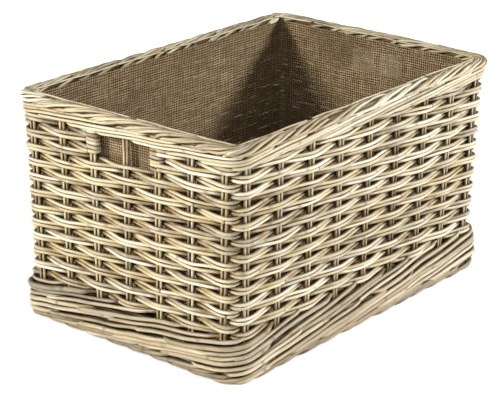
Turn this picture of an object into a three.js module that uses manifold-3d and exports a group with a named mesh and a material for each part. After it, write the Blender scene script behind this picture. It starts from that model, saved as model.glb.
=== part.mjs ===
// Wicker log basket: rattan rows woven round upright stakes, with a rolled rim, a waled foot and a hessian lining.
// Millimetres, +Z up, the origin on the floor under the middle. The long walls face -Y and +Y, and the short
// walls, with a hand hole each, face -X and +X. Every wall leans outwards, so the basket is widest at its rim.
import * as THREE from "three";
import { mergeVertices } from "three/addons/utils/BufferGeometryUtils.js";
import Module from "manifold-3d";

const wasm = await Module();
wasm.setup();

// Driving dimensions
const LENGTH = 704; // over the rim border, along X
const WIDTH = 486; // over the rim border, along Y
const HEIGHT = 391;
const WALL_SLOPE = 0.024; // how far a wall leans out for each millimetre of height
const CORNER = 24; // radius of the wall's middle surface, and how far the end stakes stand from the corner
const GAP = 0.3; // between pieces that rest on each other

const STAKE_WIDTH = 13; // two rods side by side
const STAKE_THICK = 6;
const LONG_WALL_STAKES = 9;
const SHORT_WALL_STAKES = 7;

const ROWS = 22;
const ROW_PITCH = 13; // two weaving rods, one on the other
const ROW_THICK = 6.4;
const ROW_SWING = 7.1; // how far a row's centre line stands off the middle surface where it passes a stake
const STRAIGHT_PAST = 6; // how far each side of a stake's centre the row runs straight
const CORNER_STRAIGHT = 16; // the same at an end stake, on the side of the corner

const BORDER_WIDTH = 28;
const BORDER_HEIGHT = 17;
const WALE_REACH = 10; // half the thickness of a waled band
const INNER_CORNER = 2; // radius of its inner corners, which the lining fits into
const FOOT_BORDER_HEIGHT = 17;
const FOOT_BORDER_REACH = 17; // how far its outside stands off the middle surface
const FOOT_WALE_HEIGHT = 18.3;
const FOOT_INNER_CORNER = 21;
const FOOT_PROUD = [4, 10.5, 11]; // how far each foot wale stands proud of the wall, from the top one down

const BROKEN_ROWS = 3; // top rows that stop at each hand hole; the next one down is cut to half its height there
const BINDING_THICK = 5;
const ROW_END_GAP = 1.7; // from a broken row's slanted end to the binding
const STAKE_ROOM = 0.66; // round a stake, where a straight hole takes its lean

const BASE_BEND = 14; // radius at which a stake turns from the wall into the base
const CROSS_LAYER = 12; // height of the stakes that cross the base from long wall to long wall
const LONG_LAYER = 20; // height of those that run its length, above them
const MAT_THICK = 6;
const MAT_INSET = 12;
const CLOTH = 2;
const LINING_INSET = 10.9; // from the middle surface to the lining's outer face

// Heights that follow
const BORDER_BASE = HEIGHT - BORDER_HEIGHT;
const FOOT_TOP = FOOT_BORDER_HEIGHT + FOOT_PROUD.length * FOOT_WALE_HEIGHT;
const ROWS_TOP = FOOT_TOP + ROWS * ROW_PITCH;
const BINDING_BASE = ROWS_TOP - BROKEN_ROWS * ROW_PITCH;
const MAT_BASE = LONG_LAYER + STAKE_THICK / 2 + GAP;
const CLOTH_BASE = MAT_BASE + MAT_THICK + GAP;

const RATTAN = { color: 0xb5a37f, roughness: 0.7, metalness: 0 };
const THICK_RATTAN = { color: 0xa8966f, roughness: 0.75, metalness: 0 };
const HESSIAN = { color: 0x8a7454, roughness: 0.95, metalness: 0 };

const basket = new THREE.Group();

// ---- The wall's middle surface -------------------------------------------------------------------------------

/** Half the length and half the width of the middle surface at a height. */
function halfSize(z) {
  const lean = WALL_SLOPE * (HEIGHT - z);
  return [(LENGTH - BORDER_WIDTH) / 2 - lean, (WIDTH - BORDER_WIDTH) / 2 - lean];
}

// The four walls in order round the basket. turn is a wall's rotation from the front one, in quarter turns.
const WALLS = ["front", "right", "back", "left"].map((name, turn) => ({
  name,
  turn,
  stakes: turn % 2 === 0 ? LONG_WALL_STAKES : SHORT_WALL_STAKES,
}));

/** A point in plan on a wall: along it from its middle, and offset outwards from the middle surface. */
function wallPoint(wall, along, offset, z) {
  const out = halfSize(z)[(wall.turn + 1) % 2] + offset;
  return new THREE.Vector2(along, -out).rotateAround(new THREE.Vector2(), (wall.turn * Math.PI) / 2);
}

/** How far a stake stands along its wall. share runs from -1 at one end stake to 1 at the other. */
function stakeAlong(wall, share, z) {
  return share * (halfSize(z)[wall.turn % 2] - CORNER);
}

/** The stakes in order round the basket. side is 1 where the first row passes outside the stake, else -1. */
const STATIONS = WALLS.flatMap((wall) =>
  Array.from({ length: wall.stakes }, (_, i) => ({
    wall,
    share: (2 * i) / (wall.stakes - 1) - 1,
    first: i === 0,
    last: i === wall.stakes - 1,
    holeEdge: wall.turn % 2 === 1 && Math.abs(i - (wall.stakes - 1) / 2) === 1,
  })),
).map((station, n) => ({ ...station, side: n % 2 === 0 ? 1 : -1 }));

// ---- Making solids -------------------------------------------------------------------------------------------

function addPiece(name, geometry, finish, z = 0) {
  const mesh = new THREE.Mesh(geometry, new THREE.MeshStandardMaterial(finish));
  mesh.name = name;
  mesh.position.z = z;
  basket.add(mesh);
  return mesh;
}

/** A geometry as a manifold-3d solid. */
function solidOf(geometry) {
  const merged = mergeVertices(geometry.clone().deleteAttribute("normal").deleteAttribute("uv"), 1e-4);
  const vertProperties = merged.getAttribute("position").array;
  const triVerts = new Uint32Array(merged.index.array);
  return new wasm.Manifold(new wasm.Mesh({ numProp: 3, vertProperties, triVerts }));
}

/** A geometry with other geometries cut away from it. */
function cut(geometry, tools) {
  const mesh = tools.reduce((left, tool) => left.subtract(solidOf(tool)), solidOf(geometry)).getMesh();
  return new THREE.BufferGeometry()
    .setAttribute("position", new THREE.BufferAttribute(mesh.vertProperties, 3))
    .setIndex(new THREE.BufferAttribute(mesh.triVerts, 1));
}

/** A box on a wall, from its middle surface's point at a height: wide along the wall, deep across it, and high. */
function wallBox(wall, along, wide, deep, high, z) {
  const centre = wallPoint(wall, along, 0, z);
  return new THREE.BoxGeometry(wide, deep, high)
    .rotateZ((wall.turn * Math.PI) / 2)
    .translate(centre.x, centre.y, z);
}

/** A line moved sideways, to its left if distance is positive. A closed line's ends are joined. */
function offsetLine(points, distance, closed) {
  return points.map((point, i) => {
    const before = points[i - 1] ?? (closed ? points.at(-1) : null);
    const after = points[i + 1] ?? (closed ? points[0] : null);
    const steps = [before && point.clone().sub(before), after && after.clone().sub(point)];
    const normals = steps.filter(Boolean).map((step) => new THREE.Vector2(-step.y, step.x).normalize());
    const across = normals.reduce((sum, normal) => sum.clone().add(normal)).normalize();
    return point.clone().addScaledVector(across, distance / across.dot(normals[0]));
  });
}

/** An upright band of the given thickness and height that follows a line in plan. */
function bandGeometry(line, thick, height, closed) {
  const left = offsetLine(line, thick / 2, closed);
  const right = offsetLine(line, -thick / 2, closed);
  const shape = new THREE.Shape(closed ? right : [...right, ...left.reverse()]);
  if (closed) shape.holes.push(new THREE.Path(left));
  return new THREE.ExtrudeGeometry(shape, { depth: height, bevelEnabled: false });
}

/** The outline of the middle surface at a height, moved out by offset, with round corners. */
function outline(Outline, z, offset, radius = CORNER + offset) {
  const [x, y] = halfSize(z).map((half) => half + offset - radius);
  const quarter = Math.PI / 2;
  return new Outline()
    .absarc(x, -y, radius, -quarter, 0)
    .absarc(x, y, radius, 0, quarter)
    .absarc(-x, y, radius, quarter, 2 * quarter)
    .absarc(-x, -y, radius, 2 * quarter, 3 * quarter)
    .closePath();
}

/** A ring round the basket from an inner to an outer offset, standing on z = 0, with its edges rounded off. */
function ringGeometry({ z, height, inner, outer, bevel = 0, innerRadius }) {
  const middle = z + height / 2;
  const shape = outline(THREE.Shape, middle, outer - bevel);
  shape.holes.push(outline(THREE.Path, middle, inner + bevel, innerRadius));
  return new THREE.ExtrudeGeometry(shape, {
    depth: height - 2 * bevel,
    curveSegments: 4,
    bevelEnabled: bevel > 0,
    bevelSize: bevel,
    bevelThickness: bevel,
    bevelSegments: 2,
  }).translate(0, 0, bevel);
}

/** A waled band that the stakes pass through. */
function addWale(name, z, height, outer, finish) {
  const ring = ringGeometry({ z, height, inner: -WALE_REACH, outer, innerRadius: INNER_CORNER });
  const middle = z + height / 2;
  const holes = STATIONS.map(({ wall, share }) =>
    wallBox(
      wall,
      stakeAlong(wall, share, middle),
      STAKE_WIDTH + 2 * STAKE_ROOM,
      STAKE_THICK + 2 * STAKE_ROOM,
      3 * height,
      middle,
    ).translate(0, 0, -z),
  );
  addPiece(name, cut(ring, holes), finish, z);
}

// ---- Foot and rim --------------------------------------------------------------------------------------------

function addFoot() {
  const outsideStakes = STAKE_THICK / 2 + 1; // the lowest bands lie outside the stakes' bends
  const hollow = { inner: outsideStakes, innerRadius: FOOT_INNER_CORNER };
  const border = { z: 0, height: FOOT_BORDER_HEIGHT - GAP, outer: FOOT_BORDER_REACH, bevel: 3 };
  addPiece("foot_border", ringGeometry({ ...border, ...hollow }), THICK_RATTAN);
  FOOT_PROUD.forEach((proud, fromTop) => {
    const z = FOOT_TOP - (fromTop + 1) * FOOT_WALE_HEIGHT;
    const name = `foot_wale_${fromTop + 1}`;
    const height = FOOT_WALE_HEIGHT - GAP;
    const outer = WALE_REACH + proud;
    if (fromTop < FOOT_PROUD.length - 1) addWale(name, z, height, outer, THICK_RATTAN);
    else addPiece(name, ringGeometry({ z, height, outer, ...hollow }), THICK_RATTAN, z);
  });
}

function addRim() {
  addWale("top_wale", ROWS_TOP, BORDER_BASE - ROWS_TOP - GAP, WALE_REACH + 1, RATTAN);
  const half = BORDER_WIDTH / 2;
  const border = { z: BORDER_BASE, height: BORDER_HEIGHT, inner: -half, outer: half, bevel: 5 };
  addPiece("rim_border", ringGeometry(border), RATTAN, BORDER_BASE);
}

// ---- Stakes --------------------------------------------------------------------------------------------------

/** The side view of a stake pair that comes down one wall, crosses the base and goes up the wall opposite. */
function stakeOutline(wall, layer) {
  const across = (wall.turn + 1) % 2;
  const top = BORDER_BASE - GAP;
  const half = STAKE_THICK / 2;
  const bend = layer + BASE_BEND;
  const reach = (z, side) => halfSize(z)[across] + side * half;
  const turn = reach(bend, 0) - BASE_BEND;
  const quarter = Math.PI / 2;
  return new THREE.Shape()
    .moveTo(reach(top, 1), top)
    .lineTo(reach(top, -1), top)
    .absarc(turn, bend, BASE_BEND - half, 0, -quarter, true)
    .absarc(-turn, bend, BASE_BEND - half, -quarter, -2 * quarter, true)
    .lineTo(-reach(top, -1), top)
    .lineTo(-reach(top, 1), top)
    .absarc(-turn, bend, BASE_BEND + half, -2 * quarter, -quarter, false)
    .absarc(turn, bend, BASE_BEND + half, -quarter, 0, false)
    .closePath();
}

function addThroughStakes(wall, label, layer) {
  const outlineShape = stakeOutline(wall, layer);
  const stakes = STATIONS.filter((station) => station.wall === wall);
  stakes.forEach(({ share }, i) => {
    const fan = WALL_SLOPE * share; // the stakes spread towards the rim
    const geometry = new THREE.ExtrudeGeometry(outlineShape, {
      depth: STAKE_WIDTH,
      bevelEnabled: false,
      curveSegments: 4,
    })
      .translate(0, 0, -STAKE_WIDTH / 2)
      .rotateX(Math.PI / 2)
      .rotateZ(((wall.turn + 1) * Math.PI) / 2);
    const along = wall.turn === 0 ? "x" : "y";
    const shear = new THREE.Matrix4();
    shear.elements[along === "x" ? 8 : 9] = fan;
    const stake = addPiece(`${label}_${i + 1}`, geometry.applyMatrix4(shear), RATTAN);
    stake.position[along] = stakeAlong(wall, share, 0);
  });
}

// ---- Woven rows ----------------------------------------------------------------------------------------------

/** The points where a row passes a stake. rowSide is 1 for a row that passes outside the first stake, else -1. */
function passPoints({ wall, share, side, first, last }, rowSide, z) {
  const along = stakeAlong(wall, share, z);
  const before = first ? CORNER_STRAIGHT : STRAIGHT_PAST;
  const after = last ? CORNER_STRAIGHT : STRAIGHT_PAST;
  return [-before, after].map((step) => wallPoint(wall, along + step, side * rowSide * ROW_SWING, z));
}

/** Where a row that stops at a hand hole ends, beside the binding. towards is 1 if the row runs up to the hole. */
function endPoint({ wall, share, side }, towards, rowSide, z) {
  const clear = STAKE_WIDTH / 2 + STAKE_ROOM + BINDING_THICK + ROW_END_GAP;
  const along = stakeAlong(wall, share, z) - towards * clear;
  return wallPoint(wall, along, 0.75 * side * rowSide * ROW_SWING, z);
}

function rowLine(z, rowSide) {
  return STATIONS.flatMap((station) => passPoints(station, rowSide, z));
}

/** The line of a row's front or back half, from one hand hole round to the other. */
function halfRowLine(start, end, z, rowSide) {
  const count = STATIONS.length;
  const length = (end - start + count) % count;
  const between = Array.from({ length: length - 1 }, (_, i) => STATIONS[(start + 1 + i) % count]);
  return [
    endPoint(STATIONS[start], -1, rowSide, z),
    ...between.flatMap((station) => passPoints(station, rowSide, z)),
    endPoint(STATIONS[end], 1, rowSide, z),
  ];
}

/** The space of the hand hole in a short wall, as a tool that cuts the row under it to half its height. */
function holeTool(wall, z) {
  const edge = stakeAlong(wall, STATIONS.find((station) => station.holeEdge).share, z);
  const wide = 2 * (Math.abs(edge) - STAKE_WIDTH / 2 - STAKE_ROOM - BINDING_THICK);
  return wallBox(wall, 0, wide, 4 * ROW_SWING, 2 * ROW_PITCH, z + ROW_PITCH).translate(0, 0, ROW_PITCH / 2 - z);
}

function addRows() {
  const edges = STATIONS.map((station, n) => (station.holeEdge ? n : -1)).filter((n) => n >= 0);
  const [rightStart, rightEnd, leftStart, leftEnd] = edges;
  for (let row = 0; row < ROWS; row++) {
    const z = FOOT_TOP + row * ROW_PITCH;
    const middle = z + ROW_PITCH / 2;
    const height = ROW_PITCH - GAP;
    const rowSide = row % 2 === 0 ? 1 : -1;
    const name = `row_${row + 1}`;
    if (row >= ROWS - BROKEN_ROWS) {
      const front = halfRowLine(leftEnd, rightStart, middle, rowSide);
      const back = halfRowLine(rightEnd, leftStart, middle, rowSide);
      addPiece(`${name}_front`, bandGeometry(front, ROW_THICK, height, false), RATTAN, z);
      addPiece(`${name}_back`, bandGeometry(back, ROW_THICK, height, false), RATTAN, z);
      continue;
    }
    const ring = bandGeometry(rowLine(middle, rowSide), ROW_THICK, height, true);
    const underHole = row === ROWS - BROKEN_ROWS - 1;
    const tools = [WALLS[1], WALLS[3]].map((wall) => holeTool(wall, z));
    addPiece(name, underHole ? cut(ring, tools) : ring, RATTAN, z);
  }
}

/** The rods that turn back round the stakes at the edges of a hand hole. */
function addBindings() {
  const height = BROKEN_ROWS * ROW_PITCH - GAP;
  for (const station of STATIONS.filter(({ holeEdge }) => holeEdge)) {
    const { wall, share } = station;
    const wide = STAKE_WIDTH + 2 * STAKE_ROOM;
    const deep = STAKE_THICK + 2 * STAKE_ROOM;
    const tube = cut(
      new THREE.BoxGeometry(wide + 2 * BINDING_THICK, deep + 2 * BINDING_THICK, height),
      [new THREE.BoxGeometry(wide, deep, 2 * height)],
    );
    const lean = new THREE.Matrix4();
    lean.elements[8] = WALL_SLOPE * share;
    lean.elements[9] = -WALL_SLOPE;
    const middle = BINDING_BASE + height / 2;
    const at = wallPoint(wall, stakeAlong(wall, share, middle), 0, middle);
    const name = `${wall.name}_hole_binding_${share < 0 ? 1 : 2}`;
    const binding = addPiece(name, tube.applyMatrix4(lean), RATTAN, middle);
    binding.rotation.z = (wall.turn * Math.PI) / 2;
    binding.position.x = at.x;
    binding.position.y = at.y;
  }
}

// ---- Base and lining -----------------------------------------------------------------------------------------

function addBaseMat() {
  const [x, y] = halfSize(MAT_BASE).map((half) => 2 * (half - MAT_INSET));
  addPiece("base_mat", new THREE.BoxGeometry(x, y, MAT_THICK), THICK_RATTAN, MAT_BASE + MAT_THICK / 2);
}

function addLining() {
  const inner = halfSize(CLOTH_BASE).map((half) => half - LINING_INSET - CLOTH - GAP);
  const floor = new THREE.BoxGeometry(2 * inner[0], 2 * inner[1], CLOTH);
  addPiece("lining_floor", floor, HESSIAN, CLOTH_BASE + CLOTH / 2);
  for (const wall of WALLS) {
    const butt = wall.turn % 2 === 0 ? 0 : CLOTH + GAP; // the short walls' panels stand between the long walls'
    const high = BORDER_BASE - GAP - CLOTH_BASE;
    const [low, top] = [CLOTH_BASE, CLOTH_BASE + high].map((z) => halfSize(z)[wall.turn % 2] - LINING_INSET - butt);
    const panel = new THREE.Shape([
      new THREE.Vector2(-low, 0),
      new THREE.Vector2(low, 0),
      new THREE.Vector2(top, high),
      new THREE.Vector2(-top, high),
    ]);
    const lean = new THREE.Matrix4();
    lean.elements[9] = -WALL_SLOPE;
    const geometry = new THREE.ExtrudeGeometry(panel, { depth: CLOTH, bevelEnabled: false })
      .rotateX(Math.PI / 2)
      .applyMatrix4(lean);
    const at = wallPoint(wall, 0, -LINING_INSET - CLOTH, CLOTH_BASE);
    const piece = addPiece(`lining_${wall.name}`, geometry, HESSIAN, CLOTH_BASE);
    piece.rotation.z = (wall.turn * Math.PI) / 2;
    piece.position.x = at.x;
    piece.position.y = at.y;
  }
}

addFoot();
addThroughStakes(WALLS[0], "cross_stake", CROSS_LAYER);
addThroughStakes(WALLS[1], "long_stake", LONG_LAYER);
addRows();
addBindings();
addRim();
addBaseMat();
addLining();

export default basket;
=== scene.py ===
"""Wicker log basket: every rod of its weave and borders, and its hessian, round the CAD frame."""
import math

import bpy
import numpy as np
from mathutils import Matrix, Vector


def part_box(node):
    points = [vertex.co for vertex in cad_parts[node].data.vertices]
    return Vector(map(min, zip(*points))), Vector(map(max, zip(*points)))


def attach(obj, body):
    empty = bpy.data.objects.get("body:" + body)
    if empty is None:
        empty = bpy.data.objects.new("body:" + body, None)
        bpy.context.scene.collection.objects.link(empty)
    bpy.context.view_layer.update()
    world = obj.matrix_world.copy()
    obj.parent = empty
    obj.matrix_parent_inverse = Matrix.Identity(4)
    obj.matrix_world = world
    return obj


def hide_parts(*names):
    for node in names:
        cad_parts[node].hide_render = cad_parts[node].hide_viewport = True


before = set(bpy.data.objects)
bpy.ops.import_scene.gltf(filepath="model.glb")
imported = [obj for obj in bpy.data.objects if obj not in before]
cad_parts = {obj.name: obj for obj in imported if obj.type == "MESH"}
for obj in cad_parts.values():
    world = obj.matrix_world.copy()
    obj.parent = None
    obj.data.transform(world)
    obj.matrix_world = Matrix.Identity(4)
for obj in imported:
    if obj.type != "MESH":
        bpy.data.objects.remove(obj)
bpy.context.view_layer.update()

MM = 0.001
STEP = 6.5 * MM  # between the points of a rod's path
SIDES = 10  # of a rod's section

# ---- Sizes from the frame ------------------------------------------------------------------------
RIM_BASE, RIM_TOP = (corner.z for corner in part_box("rim_border"))
ROWS_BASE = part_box("row_1")[0].z
ROW_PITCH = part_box("row_2")[0].z - ROWS_BASE
ROWS = len({name.split("_")[1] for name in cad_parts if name.startswith("row_")})
ROWS_TOP = ROWS_BASE + ROWS * ROW_PITCH
BINDING_BASE, BINDING_TOP = (corner.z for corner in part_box("left_hole_binding_1"))
STAKE_HALF = 3 * MM  # of a CAD stake's thickness
CROSS_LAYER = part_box("cross_stake_1")[0].z + STAKE_HALF  # heights of the stakes' runs across the base
LONG_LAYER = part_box("long_stake_1")[0].z + STAKE_HALF
CLOTH_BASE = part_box("lining_floor")[0].z

LONG_STAKES, SHORT_STAKES = 9, 7  # pairs on a long and on a short wall
STATIONS = 2 * (LONG_STAKES + SHORT_STAKES)
RIGHT_HOLE, LEFT_HOLE = (11, 13), (27, 29)  # the stake pairs at the hand holes' edges
BROKEN_ROWS = 3  # rows that stop at the hand holes
CORNER = 24 * MM  # radius of the wall's middle surface
ROW_CREST = 10.3 * MM  # from the middle surface to the outside of a CAD row
WHOLE_ROWS = ROWS - BROKEN_ROWS
FIRST_CREST, LAST_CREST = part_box("row_1")[1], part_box(f"row_{WHOLE_ROWS}")[1]
SLOPE = (LAST_CREST.x - FIRST_CREST.x) / ((WHOLE_ROWS - 1) * ROW_PITCH)  # outwards, for each metre up

ROD = 3.2 * MM  # radii
STAKE_ROD = 2.75 * MM
FOOT_ROD = 4.0 * MM
STAKE_SPREAD = 3.9 * MM  # from a pair's middle to each of its rods
SWING = 6.2 * MM  # how far a rod's centre stands off the middle surface at a stake


def half(axis, z):
    """Half the middle surface's length (axis 0) or width (axis 1) at a height."""
    at_first_row = FIRST_CREST[axis] - ROW_CREST
    return at_first_row + SLOPE * (np.asarray(z, float) - ROWS_BASE - ROW_PITCH / 2)


# ---- Round the basket ----------------------------------------------------------------------------
# t counts stake pairs, anticlockwise seen from above, from the front wall's first one at -X.
WALLS = []  # each wall's quarter turn, its first t, and its gaps between stake pairs
for turn in range(4):
    before = [(LONG_STAKES, SHORT_STAKES)[i % 2] for i in range(turn + 1)]
    WALLS.append((turn, sum(before[:-1]), before[-1] - 1))
MIDDLE_HEIGHT = 0.2
GAP_LENGTHS = np.array([
    CORNER * math.pi / 2 if i == gaps else 2 * (float(half(turn % 2, MIDDLE_HEIGHT)) - CORNER) / gaps
    for turn, start, gaps in WALLS
    for i in range(gaps + 1)
])
LAPS = 4  # of t that KNOTS and ARC cover, from one lap before 0
KNOTS = np.arange(-STATIONS, (LAPS - 1) * STATIONS + 1)
ARC = np.concatenate([[0], np.cumsum(np.tile(GAP_LENGTHS, LAPS))])


def perimeter(t, off, z):
    """Points on the wall: off is outwards from the middle surface."""
    t, off, z = (np.asarray(v, float) + np.zeros(np.shape(t)) for v in (t, off, z))
    t = np.mod(t, STATIONS)
    points = np.zeros((len(t), 3))
    for turn, start, gaps in WALLS:
        here = (t >= start) & (t < start + gaps + 1)
        local = t[here] - start
        run = half(turn % 2, z[here]) - CORNER
        angle = np.clip(local - gaps, 0, 1) * math.pi / 2
        radius = CORNER + off[here]
        along = np.clip(2 * local / gaps - 1, -1, 1) * run + radius * np.sin(angle)
        out = half((turn + 1) % 2, z[here]) - CORNER + radius * np.cos(angle)
        c, s = ((1, 0), (0, 1), (-1, 0), (0, -1))[turn]
        points[here] = np.stack([along * c + out * s, along * s - out * c, z[here]], 1)
    return points


def stretch(start, end, step=STEP):
    """Values of t from start to end, evenly spaced along the wall."""
    a, b = np.interp([start, end], KNOTS, ARC)
    count = max(3, int(math.ceil((b - a) / step)) + 1)
    return np.interp(np.linspace(a, b, count), ARC, KNOTS)


def gap_length(t):
    return GAP_LENGTHS[np.mod(np.floor(t), STATIONS).astype(int)]


def smooth(u):
    u = np.clip(u, 0, 1)
    return u * u * (3 - 2 * u)


def wobble(seed, t, z=0.0, slow=2, fast=9):
    """Smooth irregularity round the basket, mostly between -1 and 1, that joins up after a lap."""
    rng = np.random.default_rng(seed)
    waves, usual_peak = 6, 2.6
    tall = 0.4  # metres in which a wave's phase shifts by up to three turns
    total = 0
    for _ in range(waves):
        turns = rng.integers(slow, fast + 1)
        lean = rng.uniform(-3, 3) * z / tall
        total = total + np.sin(2 * math.pi * (turns * t / STATIONS + lean + rng.random()))
    return total / usual_peak


# ---- Rods ----------------------------------------------------------------------------------------
class Rods:
    """Rods that become one mesh, with the attributes that the rattan material reads."""

    END_LENGTH, END_SHARE = 0.25, 0.8  # of a cut end's chamfer, as shares of the radius
    JOINT_HALF = 3.2 * MM  # of the swelling at each joint of the cane

    def __init__(self, seed):
        self.rng = np.random.default_rng(seed)
        self.points, self.faces = [], []
        self.grain, self.tone, self.wear, self.crease = [], [], [], []
        self.count = 0

    def add(self, path, radius, tone, crest=0.5, up=(0, 0, 1), closed=False, sides=SIDES):
        """A rod along a path. crest, from 0 to 1, is where it stands out: worn, bleached and with
        painted highlight near 1, with painted shade near 0.
        """
        path = np.asarray(path, float)
        count = len(path)
        ahead = np.roll(path, -1, 0) - np.roll(path, 1, 0)
        if not closed:
            ahead[0], ahead[-1] = path[1] - path[0], path[-1] - path[-2]
        ahead /= np.linalg.norm(ahead, axis=1)[:, None]
        side = np.cross(ahead, np.asarray(up, float))
        side /= np.linalg.norm(side, axis=1)[:, None]
        over = np.cross(side, ahead)
        steps = np.linalg.norm(np.diff(path, axis=0), axis=1)
        along = np.concatenate([[0], np.cumsum(steps)])
        rings, node = self._radii(along, radius)
        crest = np.zeros(count) + crest
        cut = np.zeros(count)
        if not closed:  # a smaller ring closes each cut end
            shift = (path[1] - path[0]) / steps[0] * radius * self.END_LENGTH
            twice = [0, *range(count), count - 1]
            path = path[twice]
            path[1] = path[0] + shift
            side, over, rings = (v[twice] for v in (side, over, rings))
            node, crest, along = (v[twice] for v in (node, crest, along))
            count += 2
            cut = np.zeros(count)
            cut[[0, -1]] = 1.0
            rings[[0, -1]] *= self.END_SHARE
        angle = np.arange(sides) * 2 * math.pi / sides
        ring_y, ring_z = np.outer(rings, np.cos(angle)), np.outer(rings, np.sin(angle))
        points = path[:, None] + side[:, None] * ring_y[..., None] + over[:, None] * ring_z[..., None]
        index = self.count + np.arange(count * sides).reshape(count, sides)
        beside, follow = np.roll(index, -1, 1), np.roll(index, -1, 0)
        last = count if closed else count - 1
        quads = np.stack([index[:last], beside[:last], np.roll(follow, -1, 1)[:last], follow[:last]], 2)
        self.faces += quads.reshape(-1, 4).tolist()
        if not closed:
            self.faces += [index[0][::-1].tolist(), index[-1].tolist()]
        self.points.append(points.reshape(-1, 3))
        shift = self.rng.uniform(0, 50)
        grain = np.stack([np.repeat(along[:, None] + shift, sides, 1), ring_y + shift, ring_z], 2)
        self.grain.append(grain.reshape(-1, 3))
        self.tone.append(np.full(count * sides, tone))
        # 1 at the section's top and bottom, where rods touch: the mask for painted shade there.
        self.crease.append(np.tile(np.abs(np.sin(angle)), count))
        self.wear.append(np.repeat(np.stack([node, cut, crest], 1), sides, 0))
        self.count += count * sides

    def _radii(self, along, radius):
        """The rod's radius along it, more at the cane's joints, and how near each point is to one."""
        wander = self.rng.uniform(0, 9, 2)
        slow, fast = np.sin(along * 23 + wander[0]), np.sin(along * 61 + wander[1])
        rings = radius * (1 + 0.02 * slow + 0.015 * fast)
        node = np.zeros(len(along))
        place = self.rng.uniform(0, 0.35)
        while place < along[-1]:
            node = np.maximum(node, np.exp(-(((along - place) / self.JOINT_HALF) ** 2)))
            place += self.rng.uniform(0.16, 0.42)
        return rings * (1 + 0.07 * node), node

    def finish(self, name, material, nodes):
        mesh = bpy.data.meshes.new(name)
        mesh.from_pydata(np.concatenate(self.points).tolist(), [], self.faces)
        for label, kind, key, values in (
            ("grain", "FLOAT_VECTOR", "vector", self.grain),
            ("tone", "FLOAT", "value", self.tone),
            ("crease", "FLOAT", "value", self.crease),
            ("wear", "FLOAT_VECTOR", "vector", self.wear),
        ):
            layer = mesh.attributes.new(label, kind, "POINT")
            layer.data.foreach_set(key, np.concatenate(values).astype(np.float32).ravel())
        mesh.polygons.foreach_set("use_smooth", np.ones(len(mesh.polygons), bool))
        mesh.materials.append(material)
        return add_piece(name, mesh, nodes)


def add_piece(name, mesh, nodes):
    piece = bpy.data.objects.new(name, mesh)
    bpy.context.scene.collection.objects.link(piece)
    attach(piece, "root")
    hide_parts(*nodes)
    return piece


# ---- Materials -----------------------------------------------------------------------------------
class Nodes:
    """A short way to write a material's nodes."""

    def __init__(self, name):
        self.material = bpy.data.materials.new(name)
        self.material.use_nodes = True
        self.tree = self.material.node_tree
        self.shader = self.tree.nodes["Principled BSDF"]

    def new(self, kind, out=0, settings=(), **inputs):
        node = self.tree.nodes.new(kind)
        for key, value in dict(settings).items():
            setattr(node, key, value)
        for key, value in inputs.items():  # i0, i1 and so on are sockets by number
            numbered = key[0] == "i" and key[1:].isdigit()
            self.put(node, int(key[1:]) if numbered else key.replace("_", " "), value)
        return node.outputs[out]

    def put(self, node, key, value):
        if isinstance(value, bpy.types.NodeSocket):
            self.tree.links.new(value, node.inputs[key])
        else:
            node.inputs[key].default_value = value

    def math(self, operation, a, b=0.0):
        return self.new("ShaderNodeMath", settings={"operation": operation}, i0=a, i1=b)

    def vector(self, operation, a, b):
        return self.new("ShaderNodeVectorMath", settings={"operation": operation}, i0=a, i1=b)

    def attribute(self, name, out="Vector"):
        node = self.tree.nodes.new("ShaderNodeAttribute")
        node.attribute_name = name
        return node.outputs[out]

    def noise(self, place, scale, detail=3.0, roughness=0.55):
        return self.new(
            "ShaderNodeTexNoise", Vector=place, Scale=scale, Detail=detail, Roughness=roughness
        )

    def mix(self, share, a, b, blend="MIX"):
        node = self.tree.nodes.new("ShaderNodeMix")
        node.data_type, node.blend_type = "RGBA", blend
        for key, value in ((0, share), (6, a), (7, b)):
            self.put(node, key, value)
        return node.outputs[2]

    def remap(self, value, low, high, to_low=0.0, to_high=1.0):
        return self.new("ShaderNodeMapRange", i0=value, i1=low, i2=high, i3=to_low, i4=to_high)

    def ramp(self, value, stops):
        node = self.tree.nodes.new("ShaderNodeValToRGB")
        ramp = node.color_ramp
        while len(ramp.elements) < len(stops):
            ramp.elements.new(0.5)
        for element, (place, colour) in zip(ramp.elements, stops):
            element.position, element.color = place, (*colour, 1)
        self.put(node, 0, value)
        return node.outputs[0]


# Colours: the crests' bleaching with painted highlight, the painted shade where rods touch, and a cut
# end.
BLEACH_AND_HIGHLIGHT, CREASE_SHADE, CUT_END = (0.78, 0.72, 0.57, 1), (0.04, 0.023, 0.008, 1), (0.32, 0.22, 0.12, 1)


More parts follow.
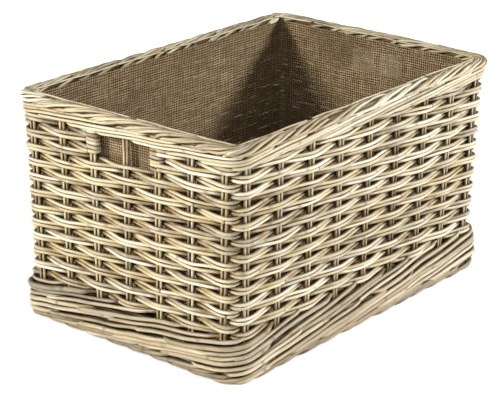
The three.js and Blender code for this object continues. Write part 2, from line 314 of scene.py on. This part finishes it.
def rattan(name, stops, wash, wash_share, dark):
    """Peeled rattan: lengthwise fibres, uneven grey wash, dark joints, and crests paler from bleaching
    and painted highlight.
    Some rods are greyer than others, and painted shade darkens the parts that lie back and the sides
    where rods touch."""
    n = Nodes(name)
    wash, dark = (*wash, 1), (*dark, 1)
    grain = n.attribute("grain")
    wear = n.new("ShaderNodeSeparateXYZ", i0=n.attribute("wear"))
    joint, cut, crest = wear.node.outputs
    streaks = n.noise(n.vector("MULTIPLY", grain, (14, 750, 750)), 1.0, 3.0, 0.6)
    lengths = n.noise(n.vector("MULTIPLY", grain, (9, 40, 40)), 1.0, 2.0, 0.6)
    blotches = n.noise(n.vector("MULTIPLY", grain, (38, 130, 130)), 1.0, 4.0, 0.65)
    fibres = n.noise(n.vector("MULTIPLY", grain, (90, 2600, 2600)), 1.0, 2.0, 0.5)
    tone = n.math("ADD", n.attribute("tone", "Fac"), n.remap(streaks, 0.25, 0.75, -0.36, 0.36))
    tone = n.math("ADD", tone, n.remap(lengths, 0.3, 0.7, -0.22, 0.22))
    colour = n.ramp(tone, stops)
    rod = n.attribute("tone", "Fac")
    chance = n.new("ShaderNodeTexWhiteNoise", settings={"noise_dimensions": "1D"}, i1=rod)
    greyed = n.new("ShaderNodeHueSaturation", Saturation=0.7, Color=colour)
    colour = n.mix(n.remap(chance, 0.45, 0.8, 0.0, 1.0), colour, greyed)
    washed = n.math("MULTIPLY", n.remap(blotches, 0.42, 0.7), wash_share)
    colour = n.mix(washed, colour, wash)
    colour = n.mix(n.remap(fibres, 0.55, 0.8, 0.0, 0.35), colour, dark)
    # Crests paler from bleaching and painted highlight; painted shade where a rod lies back.
    colour = n.mix(n.remap(crest, 0.6, 1.0, 0.0, 0.3), colour, BLEACH_AND_HIGHLIGHT)
    colour = n.mix(n.remap(crest, 0.0, 0.3, 0.85, 0.0), colour, dark)
    # Painted shade along the sides where rods touch.
    crease = n.math("POWER", n.attribute("crease", "Fac"), 4.0)
    crease = n.math("MULTIPLY", crease, n.remap(blotches, 0.35, 0.62, 1.0, 0.6))
    colour = n.mix(crease, colour, CREASE_SHADE)
    colour = n.mix(n.math("MULTIPLY", joint, 0.5), colour, dark)
    colour = n.mix(n.math("MULTIPLY", cut, 0.45), colour, CUT_END)
    n.put(n.shader, "Base Color", colour)
    n.put(n.shader, "Roughness", n.remap(blotches, 0.3, 0.75, 0.42, 0.72))
    height = n.math("ADD", n.math("MULTIPLY", streaks, 0.6), n.math("MULTIPLY", fibres, 0.4))
    bump = n.new("ShaderNodeBump", Strength=0.45, Distance=0.0005, Height=height)
    n.put(n.shader, "Normal", bump)
    n.shader.inputs["Specular IOR Level"].default_value = 0.42
    return n.material


RATTAN = rattan(
    "grey_washed_rattan",
    [
        (0.0, (0.15, 0.09, 0.028)),
        (0.3, (0.36, 0.255, 0.1)),
        (0.6, (0.53, 0.435, 0.235)),
        (1.0, (0.75, 0.69, 0.55)),
    ],
    (0.55, 0.52, 0.41), 0.55, (0.06, 0.034, 0.011),
)
STAKE_RATTAN = rattan(
    "stake_rattan",
    [
        (0.0, (0.22, 0.145, 0.06)),
        (0.5, (0.45, 0.34, 0.16)),
        (1.0, (0.68, 0.56, 0.34)),
    ],
    (0.55, 0.5, 0.38), 0.35, (0.1, 0.06, 0.024),
)
FOOT_RATTAN = rattan(
    "thick_rattan",
    [
        (0.0, (0.06, 0.035, 0.011)),
        (0.35, (0.17, 0.112, 0.04)),
        (0.7, (0.33, 0.245, 0.11)),
        (1.0, (0.6, 0.51, 0.34)),
    ],
    (0.46, 0.41, 0.29), 0.4, (0.05, 0.028, 0.009),
)


def hessian():
    """Open jute cloth: two sets of uneven threads, over and under each other, with holes between."""
    n = Nodes("hessian")
    place = n.attribute("cloth")
    bend = n.noise(place, 14.0, 3.0)
    slub = n.noise(n.vector("MULTIPLY", place, (300, 22, 1)), 1.0, 2.0)
    slub_across = n.noise(n.vector("MULTIPLY", place, (22, 300, 1)), 1.0, 2.0)
    parts = n.new("ShaderNodeSeparateXYZ", i0=place)
    u, v = parts.node.outputs[0], parts.node.outputs[1]
    pitch = 4.4 * MM
    u = n.math("ADD", n.math("DIVIDE", u, pitch), n.math("MULTIPLY", bend, 1.6))
    v = n.math("ADD", n.math("DIVIDE", v, pitch), n.math("MULTIPLY", bend, -1.2))
    warp = n.math("ABSOLUTE", n.math("SINE", n.math("MULTIPLY", u, math.pi)))
    weft = n.math("ABSOLUTE", n.math("SINE", n.math("MULTIPLY", v, math.pi)))
    crossing = n.math("ADD", n.math("FLOOR", u), n.math("FLOOR", v))
    turn = n.math("COSINE", n.math("MULTIPLY", crossing, math.pi))  # 1 or -1: which is on top
    warp_high = n.math("ADD", warp, n.math("MULTIPLY", turn, 0.25))
    weft_high = n.math("ADD", weft, n.math("MULTIPLY", turn, -0.25))
    height = n.math("MAXIMUM", warp_high, weft_high)
    thin_warp = n.math("ADD", warp, n.remap(slub, 0.3, 0.7, -0.2, 0.2))
    thin_weft = n.math("ADD", weft, n.remap(slub_across, 0.3, 0.7, -0.2, 0.2))
    edge = 0.24  # of a hole, as a share of a thread's height
    open_warp, open_weft = (n.math("LESS_THAN", thin, edge) for thin in (thin_warp, thin_weft))
    hole = n.math("MULTIPLY", open_warp, open_weft)
    blotch = n.noise(place, 9.0, 4.0)
    tone = n.math("ADD", n.math("MULTIPLY", slub, 0.5), n.math("MULTIPLY", slub_across, 0.5))
    colour = n.ramp(tone, [
        (0.3, (0.22, 0.155, 0.08)),
        (0.5, (0.44, 0.33, 0.2)),
        (0.7, (0.68, 0.55, 0.38)),
    ])
    # Painted shade in the hollows between the threads.
    colour = n.mix(n.remap(height, 0.78, 1.04, 1.0, 0.0), colour, (0.025, 0.016, 0.008, 1))
    colour = n.mix(n.remap(blotch, 0.45, 0.65, 0.0, 0.4), colour, (0.14, 0.1, 0.058, 1))
    n.put(n.shader, "Base Color", colour)
    n.shader.inputs["Roughness"].default_value = 0.95
    n.shader.inputs["Specular IOR Level"].default_value = 0.1
    n.put(n.shader, "Normal", n.new("ShaderNodeBump", Strength=0.8, Distance=0.0008, Height=height))
    glow = n.new("ShaderNodeBsdfTranslucent", Color=colour)
    cloth = n.new("ShaderNodeMixShader", i0=0.1, i1=n.shader.outputs[0], i2=glow)
    clear = n.new("ShaderNodeBsdfTransparent")
    shown = n.new("ShaderNodeMixShader", i0=hole, i1=cloth, i2=clear)
    n.put(n.tree.nodes["Material Output"], "Surface", shown)
    return n.material


HESSIAN = hessian()


# ---- Woven rows ----------------------------------------------------------------------------------
def rod_tone(rng, spread=0.29):
    return float(np.clip(rng.normal(0.5, spread), 0.0, 1))


def side_at(t, row):
    """1 where a row passes outside the stake at t, and -1 where it passes inside."""
    return 1 if (int(round(t)) + row) % 2 == 0 else -1


def weave(t, row):
    """From -1, inside a stake, to 1, outside one, along a row."""
    straight = 0.75  # share of a straight line in a rod's way from one stake to the next
    whole, gap = np.floor(t), gap_length(t)
    flat = 6.5 * MM / gap  # past the stake at each end of a gap
    u = np.clip((t - whole - flat) / (1 - 2 * flat), 0, 1)
    at_corner = gap < 40 * MM
    bend = np.where(at_corner, smooth(u), straight * u + (1 - straight) * smooth(u))
    side = np.where((whole.astype(int) + row) % 2 == 0, 1, -1)
    return side * (1 - 2 * bend)


def row_rod(rods, row, upper, start, end, radius, tone):
    """One rod of a row, from one t to another."""
    t = stretch(start, end)
    level = ROWS_BASE + (row + (0.75 if upper else 0.25)) * ROW_PITCH
    rod = 2 * row + upper
    z = level + 1.4 * MM * wobble(5, t, level) + 0.55 * MM * wobble(1000 + rod, t, 0, 6, 40)
    place = weave(t, row)
    off = SWING * place + 0.5 * MM * wobble(2000 + rod, t, 0, 4, 24)
    rods.add(perimeter(t, off, z), radius, tone, crest=0.5 + 0.5 * place)


def cuts_between(rng, row, start, end):
    """Where a row's rods end and the next begin: mostly behind a stake, or else in front of one."""
    shortest, longest = 5, 11  # in stake pairs
    cuts, t = [], start
    while True:
        t = math.floor(t) + rng.integers(shortest, longest + 1)
        if t > end - 4:
            return cuts
        if rng.random() < 0.8:
            t += side_at(t, row) == 1
            cuts.append(t + rng.uniform(-0.05, 0.05))
        else:
            t += side_at(t, row) == -1
            cuts.append(t + rng.uniform(0.12, 0.22))


def add_row(name, row, ranges):
    """A row node's pair of rods. ranges gives where the lower and the upper rod run."""
    rods = Rods(100 + row)
    for upper, spans in enumerate(ranges):
        for start, end in spans:
            cuts = cuts_between(rods.rng, row, start, end)
            edges = [start, *cuts, end]
            slack = 0.012  # of t, between a rod's end and the next one's start
            for a, b in zip(edges, edges[1:]):
                radius = ROD * rods.rng.uniform(0.88, 1.05)
                row_rod(rods, row, upper, a + slack, b - slack, radius, rod_tone(rods.rng))
    rods.finish(f"woven_{name}", RATTAN, [name])


def add_rows():
    """All rows. The top ones stop at the hand holes, a little short of the stakes at their edges."""
    short = 0.07
    front = (LEFT_HOLE[1] + short, STATIONS + RIGHT_HOLE[0] - short)
    back = (RIGHT_HOLE[1] + short, LEFT_HOLE[0] - short)
    for row in range(ROWS):
        seam = (5 * row) % STATIONS
        seam += side_at(seam, row) == 1
        whole = [(seam, seam + STATIONS)]
        if row >= WHOLE_ROWS:
            add_row(f"row_{row + 1}_front", row, [[front], [front]])
            add_row(f"row_{row + 1}_back", row, [[back], [back]])
        elif row == WHOLE_ROWS - 1:  # its upper rod stops too
            add_row(f"row_{row + 1}", row, [whole, [front, back]])
        else:
            add_row(f"row_{row + 1}", row, [whole, whole])


def add_bindings():
    """The broken rods' ends, turned back round the stake pair at each edge of a hand hole."""
    coils, points = 6, 28
    radius = 3.15 * MM
    half_wide, half_deep = 9.4 * MM, 6.1 * MM
    squareness = 0.75  # 1 is an ellipse, and less is nearer to a rectangle
    pitch = (BINDING_TOP - BINDING_BASE - 2 * radius) / (coils - 1)
    angle = np.linspace(0, 2 * math.pi, points + 1)[:-1]
    across, off = (
        reach * np.sign(part) * np.abs(part) ** squareness
        for reach, part in ((half_wide, np.cos(angle)), (half_deep, np.sin(angle)))
    )
    edges = [
        (f"{side}_hole_binding_{i + 1}", station)
        for side, hole in (("right", RIGHT_HOLE), ("left", LEFT_HOLE))
        for i, station in enumerate(hole)
    ]
    for name, station in edges:
        rods = Rods(400 + station)
        t = station + across / GAP_LENGTHS[station - 1]
        for coil in range(coils):
            tilt = 0.12 * pitch * np.sin(angle + rods.rng.uniform(0, 6))
            size = radius * rods.rng.uniform(0.9, 1.05)
            path = perimeter(t, off, BINDING_BASE + radius + coil * pitch + tilt)
            rods.add(path, size, rod_tone(rods.rng, 0.34), crest=0.75, closed=True)
        rods.finish(f"turned_{name}", RATTAN, [name])


# ---- Stakes --------------------------------------------------------------------------------------
def add_through_stakes(turn, label, layer, count):
    """Stake pairs that come down one wall, cross the base and go up the wall opposite."""
    bend = 14 * MM  # radius, from wall to base
    into_rim = 4 * MM
    lean_height = 0.3  # in which a pair's lean comes in
    heights = np.linspace(RIM_BASE + into_rim, layer + bend, 44)
    wall = np.stack([half(1 - turn, heights), heights], 1)
    edge = wall[-1, 0] - bend
    angle = np.linspace(0, -math.pi / 2, 8)[1:]
    arc = np.stack([edge + bend * np.cos(angle), layer + bend + bend * np.sin(angle)], 1)
    inner = np.linspace(edge, -edge, 40)[1:-1]
    base = np.stack([inner, np.full(len(inner), layer)], 1)
    mirror = np.array([-1, 1])
    side = np.concatenate([wall, arc, base, (arc * mirror)[::-1], (wall * mirror)[::-1]])
    high = smooth((side[:, 1] - layer) / lean_height)
    up = (1, 0, 0) if turn == 0 else (0, 1, 0)
    for i in range(count):
        share = 2 * i / (count - 1) - 1
        rods = Rods(500 + 20 * turn + i)
        lean = rods.rng.normal(0, 0.9 * MM, 2)
        for spread in (-STAKE_SPREAD, STAKE_SPREAD):
            along = share * (half(turn, side[:, 1]) - CORNER)
            along = along + spread + high * np.where(side[:, 0] > 0, lean[0], lean[1])
            along += 0.35 * MM * np.sin(side[:, 1] * 40 + rods.rng.uniform(0, 6))
            points = np.zeros((len(side), 3))
            points[:, turn], points[:, 1 - turn], points[:, 2] = along, side[:, 0], side[:, 1]
            tone = float(np.clip(rods.rng.normal(0.55, 0.34), 0, 1))
            rods.add(points, STAKE_ROD * rods.rng.uniform(0.9, 1.06), tone, crest=0.55, up=up)
        rods.finish(f"pair_{label}_{i + 1}", STAKE_RATTAN, [f"{label}_{i + 1}"])


# ---- Waled bands ---------------------------------------------------------------------------------
def wale_band(rods, centre, rod_count, spacing, radius, outer, inner, loose=0.0):
    """Twined rods: each rises past rod_count - 1 stakes on their outside, and then passes inside one.
    inner and outer are how far their centres stand off there, and loose is how far they stray."""
    spans = rod_count - 1
    seed = int(centre * 1e4)
    rod_tones = [rod_tone(rods.rng) for _ in range(40)]
    for stroke in range(STATIONS):
        start = stroke + rods.rng.normal(0, 0.04)
        t = stretch(start - 0.3, start + spans + 1.3)
        phase = t - start - 0.5
        rise = np.clip(phase, -0.25, spans + 0.25) - spans / 2
        z = centre + spacing * rise
        z = z + 0.1 * spacing * (wobble(seed, t, centre, 5, 30) + rods.rng.normal(0, 0.7))
        z = z + loose * (rods.rng.normal(0, 1.3) + rods.rng.normal(0, 1.6) * rise / spans)
        show = smooth((phase + 0.5) / 0.5) * smooth((spans + 0.5 - phase) / 0.5)
        outside = outer(z) if callable(outer) else outer
        off = inner + (outside - inner) * show + 0.5 * MM * wobble(seed + 1, t, centre, 5, 20)
        off = off + loose * rods.rng.normal(0, 1.0) * show
        own_rod = (stroke % rod_count) * 9 + stroke // (4 * rod_count)
        tone = 0.5 * rod_tones[own_rod] + 0.5 * rod_tone(rods.rng, 0.4)
        uneven = loose * 60
        size = rods.rng.uniform(0.84 - uneven, 1.04 + uneven)
        rods.add(perimeter(t, off, z), radius * size, tone, crest=show * 0.9)


def foot_reach(z):
    """How far the foot rods' centres stand off the middle surface at a height."""
    heights = np.array([0, 9, 20, 32, 44, 56, 64, 72, 80]) * MM
    reach = np.array([11.5, 13, 15.6, 16.4, 15.6, 13, 10.6, 8.6, 7.5]) * MM
    return np.interp(z, heights, reach)


def add_wales():
    top = Rods(610)
    rod_count = 4
    middle = (ROWS_TOP + RIM_BASE) / 2
    wale_band(top, middle, rod_count, 5.5 * MM, 2.95 * MM, 7 * MM, -5 * MM, loose=0.5 * MM)
    top.finish("twined_top_wale", RATTAN, ["top_wale"])
    foot = Rods(620)
    names = [f"foot_wale_{i}" for i in (1, 2, 3)]
    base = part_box(names[-1])[0].z
    inners = (2 * MM, -4 * MM)  # of the lower and the upper band
    high = (ROWS_BASE - base) / len(inners)
    for band, inner in enumerate(inners):
        middle, spacing = base + (band + 0.5) * high, high / (rod_count - 1)
        wale_band(foot, middle, rod_count, spacing, FOOT_ROD, foot_reach, inner, loose=1.5 * MM)
    t = stretch(0, STATIONS)[:-1]
    for level in np.linspace(base + 4 * MM, ROWS_BASE - 12 * MM, 6):  # the rods' runs behind the stakes
        path = perimeter(t, foot_reach(level) - 11 * MM, level + 0 * t)
        # A dark tone and crest 0 give these runs painted shade.
        foot.add(path, 4.6 * MM, 0.1, crest=0.0, closed=True)
    foot.finish("twined_foot_wales", FOOT_RATTAN, names)


# ---- Rolled borders ------------------------------------------------------------------------------
def section(distance, wide, high):
    """A point round an ellipse, by its distance from the outermost point, upwards over the top."""
    angle = np.linspace(-math.pi, 2 * math.pi, 721)
    x, y = wide * np.cos(angle), high * np.sin(angle)
    run = np.concatenate([[0], np.cumsum(np.hypot(np.diff(x), np.diff(y)))])
    run -= np.interp(0, angle, run)
    here = np.interp(distance, run, angle)
    return wide * np.cos(here), high * np.sin(here)


def add_rim_border():
    """Three rods for each stake pair roll from under the border's outside to its inside."""
    rods = Rods(710)
    centre = (RIM_TOP + RIM_BASE) / 2 - 0.4 * MM
    radius = 2.85 * MM
    wide, high = 14 * MM - radius, (RIM_TOP - RIM_BASE) / 2 - radius + 0.4 * MM
    bundle = 16.5 * MM  # a stroke's width round the section, and how far it climbs for each stake
    length = 2.45  # in stake pairs
    first = -9.5 * MM  # where a stroke starts, round the section
    under = 3 * MM  # how far out and down its end is tucked
    for stroke in range(STATIONS):
        stroke_tone = rod_tone(rods.rng)
        for rod in (-1 / 3, 0, 1 / 3):
            cut_short = rods.rng.random() < 0.3
            early = rods.rng.uniform(0.3, 1.6) if cut_short else 0
            begin = stroke + rods.rng.normal(0, 0.06)
            t = stretch(begin - 0.12, begin + length + 0.25 - early, 5.5 * MM)
            phase = t - begin
            stray = rods.rng.normal(0, 0.07) + rods.rng.normal(0, 0.09) * np.clip(phase / length, 0, 1)
            distance = first + bundle * (np.clip(phase, 0, length) + rod + stray)
            x, y = section(distance, wide, high)
            rise = smooth((phase + 0.12) / 0.42)
            dive = smooth((phase - length + 0.3) / 0.5)
            off = under * (1 - rise) + x * rise
            z = centre + (-high - under) * (1 - rise) + y * rise
            off, z = off * (1 - 0.35 * dive), z - 8 * MM * dive
            z = z + 0.5 * MM * wobble(711, t) + 0.35 * MM * wobble(714 + stroke, t, rod, 20, 60)
            off = off + 0.5 * MM * wobble(712, t) + rods.rng.normal(0, 0.5 * MM) * rise
            tone = np.clip(stroke_tone + rods.rng.normal(0, 0.16), 0, 1)
            size = radius * rods.rng.uniform(0.84, 1.02)
            rods.add(perimeter(t, off, z), size, tone, crest=0.4 + 0.45 * rise)
    t = stretch(0, STATIONS)[:-1]  # a core rod, dark with painted shade, so that no light shows between the rods
    rods.add(perimeter(t, 0 * t, centre - 1 * MM), 6 * MM, 0.1, crest=0.1, closed=True)
    for start in range(0, STATIONS, 2):  # thin rods along the inside of its top
        t = stretch(start + rods.rng.uniform(0.0, 0.3), start + rods.rng.uniform(2.0, 2.3))
        off = -12.3 * MM + 0.4 * MM * wobble(715, t, 0, 9, 40)
        z = RIM_TOP - 3.2 * MM + 0.8 * MM * wobble(713, t, 0, 4, 30)
        size = rods.rng.uniform(1.4 * MM, 1.9 * MM)
        rods.add(perimeter(t, off, z), size, 0.7, crest=0.8)
    rods.finish("rolled_rim_border", RATTAN, ["rim_border"])


def add_foot_border():
    """Thick rods that roll from under the foot up over its outside."""
    rods = Rods(720)
    radius = 4.1 * MM
    rest = 1.02  # times a rod's radius, the height of its centre where it lies on the floor
    climb = 8.6 * MM  # for each stake pair
    strokes = 46
    for stroke in range(strokes):
        begin = stroke * STATIONS / strokes + rods.rng.normal(0, 0.07)
        length = rods.rng.uniform(1.5, 2.4)
        t = stretch(begin, begin + length)
        phase = t - begin
        size = radius * rods.rng.uniform(0.74, 1.04)
        z = rest * size + climb * np.clip(phase - 0.25, 0, None) + 0.4 * MM * wobble(722, t, 0, 8, 30)
        z = np.maximum(z + rods.rng.normal(0, 0.7 * MM) * smooth(phase), rest * size)
        shown = smooth(phase / 0.45) * smooth((length - phase) / 0.4)
        off = foot_reach(z) + 1.2 * MM - 8 * MM * (1 - shown) + 0.5 * MM * wobble(721, t, 0, 5, 20)
        rods.add(perimeter(t, off, z), size, rod_tone(rods.rng, 0.36) - 0.1, crest=0.2 + 0.6 * shown)
    t = stretch(0, STATIONS)[:-1]
    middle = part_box("foot_border")[1].z / 2
    # A core rod under the strokes, darkened with painted shade.
    rods.add(perimeter(t, 4.5 * MM, middle + 0 * t), 4 * MM, 0.2, crest=0.2, closed=True)
    rods.finish("rolled_foot_border", FOOT_RATTAN, ["foot_border"])


# ---- Base and lining -----------------------------------------------------------------------------
def add_base_mat():
    """Rods side by side on the base's stakes, waving up and down in turn."""
    rods = Rods(810)
    low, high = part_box("base_mat")
    radius, gap = 2.5 * MM, 0.4 * MM
    wave, half_wave = 0.45 * MM, 33 * MM
    middle = (low.z + high.z) / 2
    count = int((high.y - low.y) / (2 * radius + gap))
    for i in range(count):
        y = low.y + radius + (high.y - low.y - 2 * radius) * i / (count - 1)
        x = np.linspace(low.x, high.x, 60)
        z = middle + wave * np.sin(x * math.pi / half_wave + math.pi * (i % 2))
        path = np.stack([x, y + 0 * x, z], 1)
        rods.add(path, radius, rod_tone(rods.rng), crest=0.5, sides=8)
    rods.finish("woven_base_mat", FOOT_RATTAN, ["base_mat"])


def cloth_piece(name, points, place, nodes):
    """A cloth sheet from a grid of points, with its flat place in metres for the weave."""
    rows, columns = points.shape[:2]
    index = np.arange(rows * columns).reshape(rows, columns)
    quads = np.stack([index[:-1, :-1], index[:-1, 1:], index[1:, 1:], index[1:, :-1]], 2).reshape(-1, 4)
    mesh = bpy.data.meshes.new(name)
    mesh.from_pydata(points.reshape(-1, 3).tolist(), [], quads.tolist())
    layer = mesh.attributes.new("cloth", "FLOAT_VECTOR", "POINT")
    flat = np.concatenate([place, np.zeros((rows, columns, 1))], 2)
    layer.data.foreach_set("vector", flat.astype(np.float32).ravel())
    mesh.polygons.foreach_set("use_smooth", np.ones(len(mesh.polygons), bool))
    mesh.materials.append(HESSIAN)
    return add_piece(name, mesh, nodes)


def add_lining():
    """The hessian hangs from the rim in shallow folds, and lies loosely on the base."""
    t = stretch(0, STATIONS, 4 * MM)
    top = RIM_BASE + 7 * MM  # inside the border
    inside = 10.9 * MM  # from the wall's middle to just inside its stakes and rods
    heights = np.linspace(CLOTH_BASE + 0.2 * MM, top, 76)
    points = []
    for z in heights:
        depth = (top - z) / (top - CLOTH_BASE)
        folds = 1.5 * wobble(900, t, 0.3 * z, 3, 14) + 0.8 * wobble(901, t, 0.8 * z, 10, 40)
        sag = 2.0 * math.sin(math.pi * min(1, depth * 1.4)) ** 2
        inward = np.clip(1.6 + folds * (0.35 + 0.9 * depth) + sag, 0.2, 7)
        points.append(perimeter(t, -(inside + inward * MM), z))
    arc = np.interp(t, KNOTS, ARC) - ARC[STATIONS]
    place = np.stack(np.meshgrid(arc, heights), 2)
    panels = [f"lining_{side}" for side in ("front", "right", "back", "left")]
    walls = cloth_piece("hessian_lining", np.array(points), place, panels)

    low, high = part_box("lining_floor")
    tuck = 3.5 * MM  # under the walls' cloth
    low, high = low - Vector((tuck, tuck, 0)), high + Vector((tuck, tuck, 0))
    x, y = np.linspace(low.x, high.x, 120), np.linspace(low.y, high.y, 84)
    grid_x, grid_y = np.meshgrid(x, y)
    swell = np.sin(grid_x * 21) * np.sin(grid_y * 17 + 1)
    ripple = np.sin(grid_x * 47 + grid_y * 31)
    grid_z = low.z + (1.4 + np.clip(0.9 * (swell + 0.6 * ripple), -1, 2)) * MM
    points, place = np.stack([grid_x, grid_y, grid_z], 2), np.stack([grid_x, grid_y], 2)
    floor = cloth_piece("hessian_floor", points, place, ["lining_floor"])


# ---- Camera, light and floor ---------------------------------------------------------------------
def add_camera():
    camera = bpy.data.objects.new("camera", bpy.data.cameras.new("camera"))
    bpy.context.scene.collection.objects.link(camera)
    camera.data.lens = 130.4
    azimuth, elevation, roll = math.radians(-50.84), math.radians(20.24), 0.0123
    place = (-2.2862, -1.8402, 1.2407)
    level = math.cos(elevation)
    back = Vector((math.sin(azimuth) * level, -math.cos(azimuth) * level, math.sin(elevation)))
    turn = back.to_track_quat("Z", "Y").to_matrix() @ Matrix.Rotation(roll, 3, "Z")
    camera.matrix_world = Matrix.Translation(place) @ turn.to_4x4()
    bpy.context.scene.camera = camera


def add_light(name, place, target, size, power, colour=(1, 1, 1)):
    light = bpy.data.objects.new(name, bpy.data.lights.new(name, "AREA"))
    bpy.context.scene.collection.objects.link(light)
    light.data.shape, light.data.size = "DISK", size
    light.data.energy, light.data.color = power, colour
    light.location = place
    light.rotation_euler = (Vector(target) - Vector(place)).to_track_quat("-Z", "Y").to_euler()


def add_studio():
    middle = (0, 0, RIM_TOP / 2)
    add_light("right_key", (2.6, -2.9, 2.4), middle, 0.8, 178)
    add_light("left_key", (-3.2, 1.5, 2.0), middle, 0.8, 128, (1, 0.97, 0.92))
    add_light("front_fill", (-2.4, -2.2, 2.6), middle, 2.0, 22)
    world = bpy.data.worlds.new("studio")
    bpy.context.scene.world = world
    world.use_nodes = True
    background = world.node_tree.nodes["Background"]
    background.inputs["Color"].default_value = (1, 1, 1, 1)
    background.inputs["Strength"].default_value = 0.3
    mesh = bpy.data.meshes.new("studio_floor")
    far = 9
    corners = [(x * far, y * far, 0) for x, y in ((-1, -1), (1, -1), (1, 1), (-1, 1))]
    mesh.from_pydata(corners, [], [(0, 1, 2, 3)])
    floor = bpy.data.objects.new("studio_floor", mesh)
    bpy.context.scene.collection.objects.link(floor)
    n = Nodes("pale_floor")
    n.shader.inputs["Base Color"].default_value = (0.88, 0.88, 0.88, 1)
    n.shader.inputs["Roughness"].default_value = 0.9
    n.shader.inputs["Emission Color"].default_value = (1, 1, 1, 1)
    n.shader.inputs["Emission Strength"].default_value = 0.2
    mesh.materials.append(n.material)
    bpy.context.scene.view_settings.view_transform = "Standard"
    bpy.context.scene.view_settings.look = "Medium High Contrast"


add_camera()
add_rows()
add_bindings()
add_through_stakes(0, "cross_stake", CROSS_LAYER, LONG_STAKES)
add_through_stakes(1, "long_stake", LONG_LAYER, SHORT_STAKES)
add_wales()
add_rim_border()
add_foot_border()
add_base_mat()
add_lining()
add_studio()
